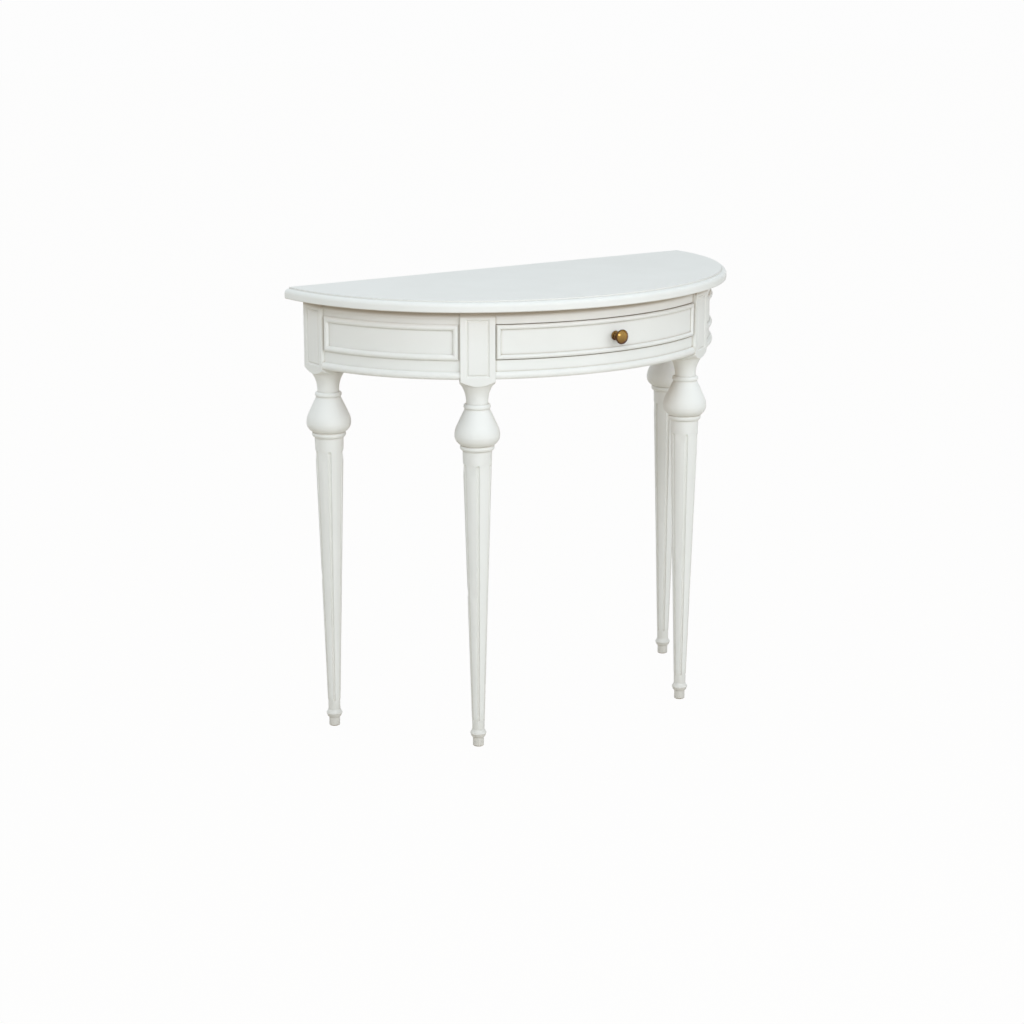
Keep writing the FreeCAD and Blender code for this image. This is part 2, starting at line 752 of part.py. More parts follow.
def base_bead(label, bay, face, legs):
    """Rounded bead along the bottom of an apron, run a little into the leg blocks and cut there."""
    body = new_body(label)
    top = dim.apron_bottom + dim.base_bead_height
    points = [(face, dim.apron_bottom), (face + dim.base_bead_foot_proud, dim.apron_bottom),
              (face + dim.base_bead_top_proud, top), (face, top)]
    section = new_sketch(body, label + "_section", "XZ_Plane")
    draw(section, points, {1: (dim.base_bead_radius, 1)})
    turned(body, section, sweep=bay.half_sweep * 2)
    bay.put(body)
    return cut(label, body, *[BLOCKS[leg.name] for leg in legs])


def mirrored(side, near, far):
    """Lower X of a piece that lies between two distances from the middle plane."""
    return near if side > 0 else -far


def make_carriers(side, name, upper_rail, lower_rail):
    """Runner, guide and kicker of one side of the drawer."""
    guide_in = dim.half_drawer + dim.guide_gap
    guide_out = guide_in + dim.guide_width
    rail_middle = dim.front_face - dim.rail_depth / 2
    blocks = [BLOCKS[FRONT_LEFT.name], BLOCKS[FRONT_RIGHT.name]]

    front = dim.front_centre - leg_of_triangle(rail_middle, guide_out)
    length = dim.back_rail_front - front
    runner_in = guide_out - dim.runner_width
    corner = (mirrored(side, runner_in, guide_out), front, dim.opening_bottom - dim.runner_height)
    runner = box(f"drawer_runner_{name}", corner, (dim.runner_width, length, dim.runner_height))
    cut(f"drawer_runner_{name}", runner, lower_rail, *blocks)

    corner = (mirrored(side, guide_in, guide_out), front, dim.opening_bottom)
    guide = box(f"drawer_guide_{name}", corner, (dim.guide_width, length, dim.guide_height))
    cut(f"drawer_guide_{name}", guide, *blocks)

    front = dim.front_centre - leg_of_triangle(rail_middle, dim.half_drawer)
    bottom = dim.drawer_side_top + dim.kicker_gap
    kicker_in = dim.half_drawer - dim.kicker_width
    corner = (mirrored(side, kicker_in, dim.half_drawer), front, bottom)
    lengths = (dim.kicker_width, dim.back_rail_front - front, dim.top_underside - bottom)
    kicker = box(f"drawer_kicker_{name}", corner, lengths)
    screws = [make_screw(f"{name}_{number}", corner, lengths, share)
              for number, share in enumerate(SCREW_PLACE_SHARES)]
    cut(f"drawer_kicker_{name}", kicker, upper_rail, *screws)
    return screws


def make_screw(name, corner, lengths, share):
    """Screw that goes up through a kicker into the top, its head let in flush."""
    body = new_body(f"top_screw_{name}")
    tip = lengths[2] + dim.screw_grip
    points = [(0, 0), (dim.screw_head_radius, 0), (dim.screw_head_radius, dim.screw_head_height),
              (dim.screw_radius, dim.screw_head_height), (dim.screw_radius, tip), (0, tip)]
    section = new_sketch(body, f"top_screw_{name}_section", "XZ_Plane")
    draw(section, points)
    turned(body, section)
    move(body, corner[0] + lengths[0] / 2, corner[1] + lengths[1] * share, corner[2])
    return body


def make_stops():
    """Two small blocks on the lower rail that stop the drawer front flush."""
    radius = dim.drawer_inner_radius - dim.slide_gap
    half_sweep = angle_of(dim.stop_width / 2, radius)
    swing = angle_of(dim.half_drawer * STOP_PLACE_SHARE, radius)
    for side, name in SIDES.items():
        bay = Bay(0, dim.front_centre, swing * side - RIGHT_ANGLE, half_sweep)
        curved_board(f"drawer_stop_{name}", bay, radius, dim.stop_depth, dim.opening_bottom, dim.stop_height)


def make_glue_blocks(side, name):
    """Blocks rubbed into the corner between a side apron and the top, one near each leg."""
    radius = dim.side_face - dim.apron_thickness
    bay = side_bay(side, dim.back_block_front + dim.glue_block_room, dim.half_block + dim.glue_block_room)
    half_sweep = bay.half_sweep * GLUE_BLOCK_SHARE
    for place, way in (("front", -side), ("back", side)):
        spot = Bay(bay.x, bay.y, bay.turn + (bay.half_sweep - half_sweep) * way, half_sweep)
        curved_board(f"glue_block_{name}_{place}", spot, radius, dim.glue_block_depth,
                     dim.top_underside - dim.glue_block_height, dim.glue_block_height)


def make_drawer():
    """Bow-fronted drawer: front, sides, back and a bottom let into grooves."""
    thickness = dim.drawer_side_thickness
    front = curved_board("drawer_front", FRONT_BAY, dim.front_face, dim.drawer_front_thickness,
                         dim.drawer_front_bottom, dim.drawer_front_height)
    ends = [leg.block(f"drawer_end_{leg.name}", dim.drawer_gap) for leg in (FRONT_LEFT, FRONT_RIGHT)]
    bottom = make_drawer_bottom()
    screw = make_knob_screw()
    cut("drawer_front", front, *ends, bottom, screw)

    clear = curved_board("drawer_front_space", FRONT_BAY, dim.front_face, dim.drawer_front_thickness,
                         dim.apron_bottom, dim.apron_height)
    middle = dim.front_face - dim.drawer_front_thickness / 2
    start = dim.front_centre - leg_of_triangle(middle, dim.half_drawer)
    for side, name in SIDES.items():
        corner = (mirrored(side, dim.half_drawer - thickness, dim.half_drawer), start, dim.drawer_base)
        lengths = (thickness, dim.drawer_end - start, dim.drawer_side_top - dim.drawer_base)
        cut(f"drawer_side_{name}", box(f"drawer_side_{name}", corner, lengths), clear, bottom)

    half = dim.half_drawer - thickness
    corner = (-half, dim.drawer_end - thickness, dim.drawer_bottom_top)
    height = dim.drawer_side_top - dim.drawer_back_drop - dim.drawer_bottom_top
    box("drawer_back", corner, (half * 2, thickness, height))


def make_drawer_bottom():
    """Thin bottom that reaches into the sides and follows the bowed front."""
    half = dim.half_drawer - dim.drawer_side_thickness + dim.drawer_groove_depth
    start = dim.drawer_front_y
    corner = (-half, start, dim.drawer_bottom_base)
    plate = box("drawer_bottom_blank", corner,
                (half * 2, dim.drawer_end - start, dim.drawer_bottom_thickness))
    bow = DOC.addObject("Part::Cylinder", "drawer_bottom_bow")
    bind(bow, Radius=dim.drawer_inner_radius + dim.drawer_groove_depth, Height=dim.table_height)
    move(bow, 0, dim.front_centre, 0)
    bottom = DOC.addObject("Part::Common", "drawer_bottom")
    bottom.Base = plate
    bottom.Tool = bow
    return bottom


def make_knob():
    """Brass knob, turned about the line that points out of the drawer."""
    base, neck_end = -dim.knob_base_thickness, -(dim.knob_base_thickness + dim.knob_neck_length)
    widest = neck_end - dim.knob_head_back
    tip = widest - dim.knob_head_front
    points = [(dim.knob_screw_radius, 0), (dim.knob_base_radius, 0), (dim.knob_base_radius, base),
              (dim.knob_neck_radius, base), (dim.knob_neck_radius, neck_end), (dim.knob_head_radius, widest),
              (0, tip), (0, -dim.knob_bore_depth), (dim.knob_screw_radius, -dim.knob_bore_depth)]
    back = tangent_radius(dim.knob_head_back, dim.knob_head_radius - dim.knob_neck_radius)
    front = tangent_radius(dim.knob_head_radius, dim.knob_head_front)
    body = new_body("drawer_knob")
    section = new_sketch(body, "knob_section", "XY_Plane")
    draw(section, points, {4: (back, -1), 5: (front, -1)})
    turned(body, section)
    move(body, 0, dim.drawer_front_y, dim.knob_height)


def make_knob_screw():
    """Screw from inside the drawer front into the knob."""
    seat = dim.drawer_front_thickness + dim.knob_screw_seat
    head = seat + dim.knob_screw_head_height
    points = [(0, -dim.knob_screw_grip), (dim.knob_screw_radius, -dim.knob_screw_grip),
              (dim.knob_screw_radius, seat), (dim.knob_screw_head_radius, seat),
              (dim.knob_screw_head_radius, head), (0, head)]
    body = new_body("knob_screw")
    section = new_sketch(body, "knob_screw_section", "XY_Plane")
    draw(section, points)
    turned(body, section)
    move(body, 0, dim.drawer_front_y, dim.knob_height)
    return body


# Legs, bays and the sides that each joins
SIDES = {-1: "left", 1: "right"}
RIGHT_ANGLE = 90
HALF_TURN = 180
FRONT_LEFT = Leg("leg_front_left", -dim.front_leg_x, dim.front_leg_y, -dim.front_turn)
FRONT_RIGHT = Leg("leg_front_right", dim.front_leg_x, dim.front_leg_y, dim.front_turn)
BACK_LEFT = Leg("leg_back_left", -dim.back_leg_x, dim.back_leg_y, -RIGHT_ANGLE)
BACK_RIGHT = Leg("leg_back_right", dim.back_leg_x, dim.back_leg_y, RIGHT_ANGLE)
LEGS = (FRONT_LEFT, FRONT_RIGHT, BACK_LEFT, BACK_RIGHT)
BLOCKS = {leg.name: leg.block(leg.name + "_space") for leg in LEGS}
FRONT_BAY = Bay(0, dim.front_centre, as_size(-RIGHT_ANGLE), dim.front_turn)


def side_bay(side, back_reach, front_reach):
    """Side bay from so far in front of the back edge to so far short of the front leg's line."""
    back_angle = angle_of(back_reach, leg_of_triangle(dim.side_face, back_reach))
    front_angle = angle_of(front_reach, leg_of_triangle(dim.side_face, front_reach))
    last = -dim.front_turn - front_angle + RIGHT_ANGLE
    middle = (back_angle + last) / 2
    turn = -middle if side > 0 else middle + HALF_TURN
    return Bay(dim.side_centre * side, dim.back_edge, turn, (last - back_angle) / 2)


def front_bay(reach):
    """Front bay that ends so far short of the lines of the front legs."""
    short = angle_of(reach, leg_of_triangle(dim.front_face, reach))
    return Bay(0, dim.front_centre, FRONT_BAY.turn, dim.front_turn - short)


def build():
    """Make every piece; pieces take their names as labels."""
    side_leg = {-1: (BACK_LEFT, FRONT_LEFT), 1: (BACK_RIGHT, FRONT_RIGHT)}
    span = (dim.apron_bottom, dim.top_underside)
    lower = (dim.apron_bottom, dim.opening_bottom)
    upper = (dim.opening_top, dim.top_underside)
    for side in SIDES:
        back, front = side_leg[side]
        make_leg(front, [side_tenon(side, *span), side_tenon(-side, *lower), side_tenon(-side, *upper)])
        make_leg(back, [side_tenon(-side, *span), back_tenon(side)])

    front_joints = ((FRONT_LEFT, 1), (FRONT_RIGHT, -1))
    upper_rail = framed_board("front_upper_rail", FRONT_BAY, dim.rail_depth, *upper, front_joints)
    lower_rail = framed_board("front_lower_rail", FRONT_BAY, dim.rail_depth, *lower, front_joints)
    make_back_rail()
    base_bead("base_bead_front", front_bay(dim.half_block - dim.overrun), dim.front_face,
              (FRONT_LEFT, FRONT_RIGHT))

    screws = []
    for side, name in SIDES.items():
        back, front = side_leg[side]
        bay = side_bay(side, dim.back_overhang + dim.half_block, as_size(0))
        framed_board(f"apron_{name}", bay, dim.apron_thickness, *span, ((back, -side), (front, side)))
        bead_bay = side_bay(side, dim.back_block_front - dim.overrun, dim.half_block - dim.overrun)
        base_bead(f"base_bead_{name}", bead_bay, dim.side_face, (back, front))
        panel = side_bay(side, dim.back_block_front + dim.panel_end_gap, dim.half_block + dim.panel_end_gap)
        ends = {side: "back", -side: "front"}
        moulding_frame(f"panel_bead_{name}", ends, panel, dim.side_face,
                       dim.apron_bottom + dim.panel_frame_bottom, dim.panel_frame_height,
                       dim.panel_bead_width, dim.panel_bead_proud)
        make_glue_blocks(side, name)
        screws += make_carriers(side, name, upper_rail, lower_rail)
    make_stops()

    group = DOC.addObject("Part::Compound", "top_screws")
    group.Links = screws
    group.Label = "top_screws"
    cut("table_top", make_top(), *screws)

    make_drawer()
    make_knob()
    moulding_frame("drawer_bead", SIDES, front_bay(dim.half_block + dim.drawer_gap), dim.front_face,
                   dim.drawer_front_bottom, dim.drawer_front_height, dim.drawer_bead_width,
                   dim.drawer_bead_proud)


# Names of the pieces, in the order of the table from the top down, then the drawer
PIECES = (
    ["table_top", "top_screws"]
    + [leg.name for leg in LEGS]
    + ["apron_left", "apron_right", "front_upper_rail", "front_lower_rail", "back_rail"]
    + [f"base_bead_{place}" for place in ("front", "left", "right")]
    + [f"panel_bead_{side}_{place}" for side in SIDES.values()
       for place in ("top", "bottom", "front", "back")]
    + [f"glue_block_{side}_{place}" for side in SIDES.values() for place in ("front", "back")]
    + [f"drawer_{kind}_{side}" for kind in ("runner", "guide", "kicker", "stop", "side")
       for side in SIDES.values()]
    + ["drawer_front", "drawer_back", "drawer_bottom", "drawer_knob", "knob_screw"]
    + [f"drawer_bead_{place}" for place in ("top", "bottom", "left", "right")]
)


def check_pieces():
    """Stop before writing if any feature failed or any piece is not sound."""
    for thing in DOC.Objects:
        if "Invalid" in thing.State or "Error" in thing.State:
            raise RuntimeError(f"{thing.Label} failed to build")
    for name in PIECES:
        shape = DOC.getObjectsByLabel(name)[0].Shape
        if shape.isNull() or not shape.isValid() or not shape.Solids:
            raise RuntimeError(f"{name} is not a sound solid")


build()
DOC.recompute()
check_pieces()
os.makedirs("parts", exist_ok=True)
for name in PIECES:
    DOC.getObjectsByLabel(name)[0].Shape.exportStep(f"parts/{name}.step")
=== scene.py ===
"""Looks of a white demilune table with a bow-fronted drawer, dressed over its solid frame."""
import json
import math

import bpy
from bpy.props import FloatProperty, FloatVectorProperty, PointerProperty
from bpy.types import Operator, Panel, PropertyGroup
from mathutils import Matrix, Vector


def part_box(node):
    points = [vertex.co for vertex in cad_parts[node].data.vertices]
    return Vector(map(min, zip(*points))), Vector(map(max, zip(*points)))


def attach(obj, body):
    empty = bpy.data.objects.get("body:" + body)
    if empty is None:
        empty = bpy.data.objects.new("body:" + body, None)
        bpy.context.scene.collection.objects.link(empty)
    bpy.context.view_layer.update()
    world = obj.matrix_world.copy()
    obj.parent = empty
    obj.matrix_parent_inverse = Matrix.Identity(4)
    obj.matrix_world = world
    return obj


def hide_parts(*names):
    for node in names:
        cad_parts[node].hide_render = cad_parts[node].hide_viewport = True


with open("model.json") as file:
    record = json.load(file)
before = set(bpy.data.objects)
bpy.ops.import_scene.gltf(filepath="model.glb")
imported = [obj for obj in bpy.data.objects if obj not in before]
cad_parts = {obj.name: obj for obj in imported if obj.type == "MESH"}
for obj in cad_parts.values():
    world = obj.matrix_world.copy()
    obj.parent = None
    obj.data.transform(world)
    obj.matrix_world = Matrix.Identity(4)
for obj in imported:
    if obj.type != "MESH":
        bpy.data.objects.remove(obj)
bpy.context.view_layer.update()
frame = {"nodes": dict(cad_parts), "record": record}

bl_info = {
    "name": "Demilune Table",
    "version": (1, 0, 0),
    "blender": (4, 5, 0),
    "location": "View3D > Sidebar > Demilune Table",
    "description": "Finishes and stage for a painted half-round table with a drawer",
    "category": "Object",
}

MILLIMETRE = 0.001
PHOTO_SIDE_PX = 1024
SENSOR_MM = 36
WHITE = (1, 1, 1, 1)
DOWN = (0, 0, -1)
FORWARD = (0, -1, 0)

PAINTED = [row["node"] for row in frame["record"]["subparts"] if row["material_slot"] == "painted_wood"]
BARE = [row["node"] for row in frame["record"]["subparts"] if row["material_slot"] == "bare_wood"]

# Centres of the plan's front arc and side arcs, in metres
FRONT_CENTRE = (0, 0.2907, 0)
SIDE_CENTRE_X, SIDE_CENTRE_Y = 0.0581, 0.194
# Heights that the painted shadow under the top and the dust and painted shade on the legs follow
TOP_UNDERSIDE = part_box("table_top")[0][2]
LEG_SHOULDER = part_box("apron_left")[0][2]

# Brush marks are drawn out along the axes that have a small share
LEVEL_STROKE = (0.08, 0.08, 1.0)
UPRIGHT_STROKE = (1.0, 1.0, 0.08)
MARKS_PER_PATCH = 60
PAINT_GLOSS = (0.44, 0.56)
PAINT_IOR = 1.45
PAINT_RELIEF = 0.06
RELIEF_DEPTH = 0.2 * MILLIMETRE

# Share of open air round a point where the brown of dust and painted shade starts, and where it lies thickest
AIR_FOR_DUST_AND_SHADE = (0.93, 0.2)
AIR_SAMPLES = 8
# Thickest dust and painted shade on plain pieces, on the legs, on the legs at the floor and round the drawer
PLAIN_DUST_AND_SHADE = 0.4
LEG_DUST_AND_SHADE = 0.55
FLOOR_DUST_AND_SHADE = 1.2
DRAWER_DUST_AND_SHADE = 1.0
# Depths below the top where the painted shadow under it starts, and where it is full
LIP_SHADE = (12.5 * MILLIMETRE, 8 * MILLIMETRE)
# Cosines between which a face begins to count as one that looks inwards, or backwards
INWARD = (0.8, 0.9)
BACKWARD = (0.5, 0.9)

# Growth rings of softwood: their squeeze along the grain, slow drift, waviness and contrast
ALONG_GRAIN = 0.05
RINGS_PER_DRIFT = 4
RING_WAVE = 1.2
RING_SHARE = 0.7
RING_CONTRAST = (0.55, 1.15)
WOOD_ROUGHNESS = 0.62
WOOD_IOR = 1.5
WOOD_RELIEF = 0.15

KNOB_SIDES = 72
KNOB_SMOOTH_ANGLE = math.radians(40)
# Radius and reach from the drawer's face, in millimetres, of each ring that the lathe leaves on the knob
KNOB_RINGS = (
    (7.6, 0.0), (7.9, 0.5), (7.9, 1.5), (7.4, 2.3), (6.4, 2.8), (5.4, 3.0), (4.9, 3.4), (4.4, 4.6),
    (4.1, 6.2), (4.0, 7.8), (4.2, 9.4), (4.9, 11.0), (6.2, 12.5), (8.2, 13.9), (10.2, 15.2), (11.6, 16.6),
    (12.3, 17.8), (12.5, 18.7), (12.4, 19.5), (11.9, 20.1), (11.2, 20.4), (10.7, 20.6), (10.1, 21.3),
    (9.0, 22.7), (7.4, 24.1), (5.4, 25.3), (3.2, 26.1), (1.2, 26.5))
# Painted shade starts at this share of the rim's radius; tarnish lies on the neck, and painted shade on the
# lower side
RIM_START = 0.82
NECK_REACH = 13 * MILLIMETRE
NECK_FADE = 4 * MILLIMETRE
NECK_TARNISH = 0.45
LOWER_SIDE_START = 7 * MILLIMETRE
LOWER_SIDE_SHADE = 0.75
TARNISH_PATCH = 6 * MILLIMETRE
PATCH_SHARE = 0.35
TARNISH_AND_SHADE_CONTRAST = (0.1, 1.1)
BRASS_GLOSS = (0.2, 0.32)
LACQUER = 0.4
LACQUER_ROUGHNESS = 0.12

TURNING_MARK = 0.8 * MILLIMETRE
STEEL_GLOSS = (0.25, 0.45)


def hex_colour(text):
    """Linear colour of an sRGB hex value."""
    parts = [int(text[place:place + 2], 16) / 255 for place in (0, 2, 4)]
    return tuple(part / 12.92 if part <= 0.04045 else ((part + 0.055) / 1.055) ** 2.4 for part in parts)


class FinishSettings(PropertyGroup):
    """Colours and grain sizes of the table's finishes."""

    paint: FloatVectorProperty(
        name="Paint", description="Satin off-white paint", subtype="COLOR", default=hex_colour("F0F2EF"))
    paint_worn: FloatVectorProperty(
        name="Thin paint", description="Paint where the brush left it thin", subtype="COLOR",
        default=hex_colour("E9EBE7"))
    brush_width: FloatProperty(
        name="Brush marks", description="Width of a brush mark in the paint", subtype="DISTANCE",
        default=1.6 * MILLIMETRE)
    # Brown of dust and of painted shade, mixed into the paint in quirks, gaps, on the feet and under the top
    dust_and_shade: FloatVectorProperty(
        name="Settled dust", description="Brown dust left in quirks and gaps", subtype="COLOR",
        default=hex_colour("8C7650"))
    # How far the dust and painted shade reach out of a corner
    dust_and_shade_reach: FloatProperty(
        name="Dust reach", description="How far dust spreads out of a corner", subtype="DISTANCE",
        default=5 * MILLIMETRE)
    # Share of painted shadow close under the overhanging top
    painted_lip_shadow: FloatProperty(
        name="Dust under the lip", description="Share of dust close under the overhanging top",
        subtype="FACTOR", default=0.56)
    # Painted shade on the feet, darker towards the floor, up to the height given below
    painted_foot_shade: FloatProperty(
        name="Dust on the feet", description="Share of dust on the feet at the floor", subtype="FACTOR",
        default=0.3)
    painted_foot_shade_rise: FloatProperty(
        name="Rise of the feet's dust", description="Height at which the feet's dust ends",
        subtype="DISTANCE", default=60 * MILLIMETRE)
    wood_light: FloatVectorProperty(
        name="Early wood", description="Pale part of the growth rings", subtype="COLOR",
        default=hex_colour("D8BE96"))
    wood_dark: FloatVectorProperty(
        name="Late wood", description="Dark part of the growth rings", subtype="COLOR",
        default=hex_colour("B98F5E"))
    ring_width: FloatProperty(
        name="Ring width", description="Distance between growth rings", subtype="DISTANCE",
        default=5 * MILLIMETRE)
    brass: FloatVectorProperty(
        name="Brass", description="Rubbed brass", subtype="COLOR", default=hex_colour("B08C48"))
    # Brown of the tarnish on the neck and in patches, and of the painted shade round the rim and on the lower
    # side
    tarnish_and_shade: FloatVectorProperty(
        name="Tarnish", description="Brown tarnish left in the hollows of the brass", subtype="COLOR",
        default=hex_colour("4E2E0E"))
    brass_edge: FloatVectorProperty(
        name="Brass at a slant", description="Tint of the brass where it is seen at a slant", subtype="COLOR",
        default=hex_colour("8A5A24"))
    steel: FloatVectorProperty(
        name="Steel", description="Plain screw steel", subtype="COLOR", default=hex_colour("9C9C9A"))


class StageSettings(PropertyGroup):
    """Camera, floor and light."""

    camera_place: FloatVectorProperty(
        name="Camera", description="Place of the camera", subtype="TRANSLATION",
        default=(-2.3156, -3.1727, 1.3416))
    camera_yaw: FloatProperty(
        name="Yaw", description="Turn of the camera to the right of straight ahead", subtype="ANGLE",
        default=math.radians(34.977))
    camera_pitch: FloatProperty(
        name="Pitch", description="Tilt of the camera below level", subtype="ANGLE",
        default=math.radians(13.939))
    focal_px: FloatProperty(
        name="Focal length", description="Focal length in pixels of the square picture", subtype="PIXEL",
        default=2283.3)
    floor_size: FloatProperty(
        name="Floor", description="Side of the floor", subtype="DISTANCE", default=40.0)
    aim: FloatVectorProperty(
        name="Aim", description="Point that the lamps face", subtype="TRANSLATION", default=(0, 0, 0.5))
    lamp_tint: FloatVectorProperty(
        name="Lamp tint", description="Colour of the lamps", subtype="COLOR", default=hex_colour("F6F9FF"))
    key_place: FloatVectorProperty(
        name="Key light", description="Place of the key light", subtype="TRANSLATION",
        default=(-0.35, -3.95, 2.0))
    key_size: FloatVectorProperty(
        name="Key size", description="Width and height of the key light", subtype="XYZ_LENGTH", size=2,
        default=(8.0, 1.4))
    key_power: FloatProperty(
        name="Key power", description="Power of the key light in watts", unit="POWER", default=123)
    side_place: FloatVectorProperty(
        name="Side fill", description="Place of the side fill", subtype="TRANSLATION",
        default=(-2.49, -2.43, 2.89))
    side_size: FloatVectorProperty(
        name="Side size", description="Width and height of the side fill", subtype="XYZ_LENGTH", size=2,
        default=(1.0, 1.0))
    side_power: FloatProperty(
        name="Side power", description="Power of the side fill in watts", unit="POWER", default=26)
    back_place: FloatVectorProperty(
        name="Back fill", description="Place of the back fill", subtype="TRANSLATION",
        default=(-2.4, 3.6, 2.2))
    back_size: FloatVectorProperty(
        name="Back size", description="Width and height of the back fill", subtype="XYZ_LENGTH", size=2,
        default=(2.0, 1.6))
    back_power: FloatProperty(
        name="Back power", description="Power of the back fill in watts", unit="POWER", default=36)
    sky_low: FloatProperty(
        name="Sky at the horizon", description="Strength of the soft light from the sides", default=0.25)
    sky_high: FloatProperty(
        name="Sky overhead", description="Strength of the soft light from above", default=0.8)
    sky_tint: FloatVectorProperty(
        name="Sky tint", description="Colour of the soft light", subtype="COLOR",
        default=hex_colour("F6FCFF"))
    floor_white: FloatProperty(
        name="White of the floor", description="Share of the floor's look that is plain white",
        subtype="FACTOR", default=0.97)
    floor_tint: FloatVectorProperty(
        name="Floor tint", description="Colour of the floor", subtype="COLOR", default=hex_colour("C6BCAC"))
    backdrop: FloatProperty(
        name="Backdrop", description="White level of the backdrop, level with the floor", subtype="FACTOR",
        default=0.98)


class NodeSheet:
    """A material's node tree with one call that adds a node, its settings and its links."""

    def __init__(self, tree):
        self.tree = tree
        tree.nodes.clear()

    def add(self, kind, settings=None, **sockets):
        """A socket is given by its name with _ for spaces, or by _ and its number."""
        node = self.tree.nodes.new(kind)
        for name, value in (settings or {}).items():
            setattr(node, name, value)
        for name, value in sockets.items():
            key = int(name[1:]) if name[0] == "_" and name[1:].isdigit() else name.replace("_", " ")
            if isinstance(value, bpy.types.NodeSocket):
                self.tree.links.new(value, node.inputs[key])
            else:
                node.inputs[key].default_value = value
        return node


def new_material(name):
    material = bpy.data.materials.new(name)
    material.use_nodes = True
    return material, NodeSheet(material.node_tree)


def with_alpha(colour):
    return (*colour, 1.0)


def wood_grain(sheet, settings, place, squeeze):
    """Colour and height of softwood growth rings, drawn out along the axes that squeeze makes small."""
    grain = sheet.add("ShaderNodeMapping", _0=place, Scale=squeeze)
    drift = sheet.add("ShaderNodeTexNoise", Vector=grain.outputs[0],
                      Scale=1 / (RINGS_PER_DRIFT * settings.ring_width), Detail=2.0)
    rings = sheet.add("ShaderNodeTexNoise", Vector=grain.outputs[0], Scale=1 / settings.ring_width,
                      Detail=4.0, Distortion=RING_WAVE)
    blend = sheet.add("ShaderNodeMath", {"operation": "MULTIPLY_ADD"}, _0=rings.outputs[0], _1=RING_SHARE,
                      _2=drift.outputs[0])
    pale, dark = RING_CONTRAST
    spread = sheet.add("ShaderNodeMapRange", Value=blend.outputs[0], From_Min=pale, From_Max=dark)
    tone = sheet.add("ShaderNodeMix", {"data_type": "RGBA"}, _0=spread.outputs[0],
                     _6=with_alpha(settings.wood_light), _7=with_alpha(settings.wood_dark))
    return tone.outputs[2], blend.outputs[0]


def inner_face(sheet, coords, centre, facing):
    """One on faces that look towards a centre of curvature, or along a direction, and nought elsewhere."""
    way = facing
    if centre:
        from_here = sheet.add("ShaderNodeVectorMath", {"operation": "MULTIPLY_ADD"},
                              _0=coords.outputs["Object"], _1=(-1, -1, 0), _2=centre)
        inwards = sheet.add("ShaderNodeVectorMath", {"operation": "NORMALIZE"}, _0=from_here.outputs[0])
        way = inwards.outputs[0]
    look = sheet.add("ShaderNodeVectorMath", {"operation": "DOT_PRODUCT"}, _0=coords.outputs["Normal"],
                     _1=way)
    begins, full = INWARD
    inner = sheet.add("ShaderNodeMapRange", Value=look.outputs["Value"], From_Min=begins, From_Max=full)
    return inner.outputs[0]


def lip_shadow_share(sheet, settings, coords):
    """Painted shadow close under the overhanging top, on all faces but those that look backwards."""
    height = sheet.add("ShaderNodeSeparateXYZ", Vector=coords.outputs["Object"]).outputs["Z"]
    begins, full = LIP_SHADE
    shade = sheet.add("ShaderNodeMapRange", Value=height, From_Min=TOP_UNDERSIDE - begins,
                      From_Max=TOP_UNDERSIDE - full, To_Max=settings.painted_lip_shadow)
    backward = sheet.add("ShaderNodeSeparateXYZ", Vector=coords.outputs["Normal"]).outputs["Y"]
    begins, full = BACKWARD
    line = sheet.add("ShaderNodeMapRange", Value=backward, From_Min=begins, From_Max=full,
                     To_Min=shade.outputs[0], To_Max=0.0)
    return line.outputs[0]


def dust_and_painted_shade(sheet, settings, coords, dust_and_shade_share, at_floor, shadow_under_lip):
    """Share of brown: dust and painted shade in quirks and gaps, painted shade on the feet where at_floor is
    given, and a painted shadow close under the top.
    """
    open_air = sheet.add("ShaderNodeAmbientOcclusion", {"samples": AIR_SAMPLES}, Distance=settings.dust_and_shade_reach)
    most = dust_and_shade_share
    # More dust and painted shade in the quirks of the legs towards the floor
    if at_floor:
        height = sheet.add("ShaderNodeSeparateXYZ", Vector=coords.outputs["Object"]).outputs["Z"]
        most = sheet.add("ShaderNodeMapRange", Value=height, From_Min=LEG_SHOULDER, From_Max=0.0,
                         To_Min=dust_and_shade_share, To_Max=at_floor).outputs[0]
    begins, full = AIR_FOR_DUST_AND_SHADE
    # Dust and painted shade where little open air is round a point, in quirks and gaps
    brown = sheet.add("ShaderNodeMapRange", Value=open_air.outputs["AO"], From_Min=begins, From_Max=full,
                      To_Max=most)
    # Painted shade on the feet, darker towards the floor
    if at_floor:
        foot = sheet.add("ShaderNodeMapRange", Value=height, From_Min=settings.painted_foot_shade_rise, From_Max=0.0,
                         To_Max=settings.painted_foot_shade)
        brown = sheet.add("ShaderNodeMath", {"operation": "MAXIMUM"}, _0=brown.outputs[0],
                          _1=foot.outputs[0])
    # Painted shadow close under the top
    if shadow_under_lip:
        brown = sheet.add("ShaderNodeMath", {"operation": "MAXIMUM"}, _0=brown.outputs[0],
                          _1=lip_shadow_share(sheet, settings, coords))
    return brown.outputs[0]


